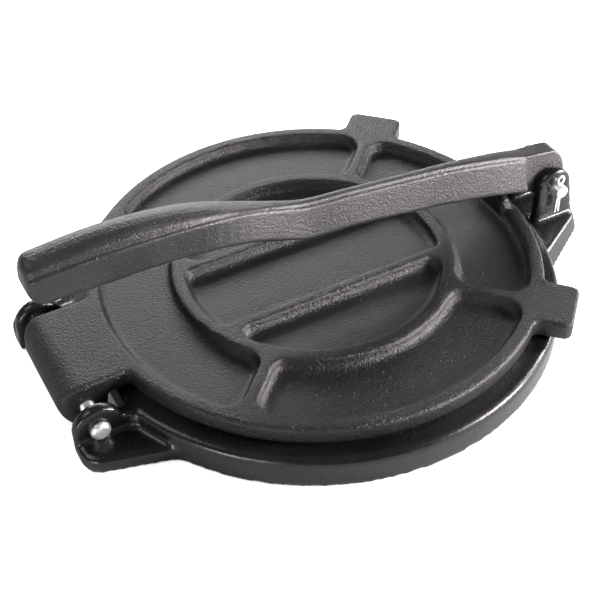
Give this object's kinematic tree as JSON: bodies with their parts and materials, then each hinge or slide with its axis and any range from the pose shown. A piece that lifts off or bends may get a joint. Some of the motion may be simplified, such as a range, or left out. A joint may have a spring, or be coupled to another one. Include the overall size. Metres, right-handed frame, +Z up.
{
  "type": "tortilla press",
  "caption": "Cast iron tortilla press with a round hinged top plate and a long lever that swings over to press it down.",
  "frame": {"origin": "middle of the footprint on the table, level with the underside of the base", "axes": "+Z up; +X from the plate hinge towards the lever pin; the hinge and lever pins lie along Y"},
  "size_m": [0.2658, 0.2188, 0.0783],
  "materials": {
    "casting": "black satin with a fine sand-cast grain",
    "pins": "bright zinc plated"
  },
  "bodies": {
    "base": {"base": "casting", "hinge_pin": "pins", "hinge_split_pin": "pins", "lever_pin": "pins", "lever_split_pin": "pins"},
    "top_plate": {"top_plate": "casting"},
    "lever": {"lever": "casting"}
  },
  "joints": [
    {"name": "lever_pivot", "type": "hinge", "parent": "base", "child": "lever", "pos_m": [0.11895, 0, 0.0264], "axis": [0, 1, 0], "range_deg": [0, 172]},
    {"name": "plate_hinge", "type": "hinge", "parent": "base", "child": "top_plate", "pos_m": [-0.12155, 0, 0.012], "axis": [0, -1, 0], "range_deg": [0, 105]}
  ],
  "couplings": [
    {"joint": "plate_hinge", "follows": "lever_pivot", "ratio": 0.12}
  ]
}
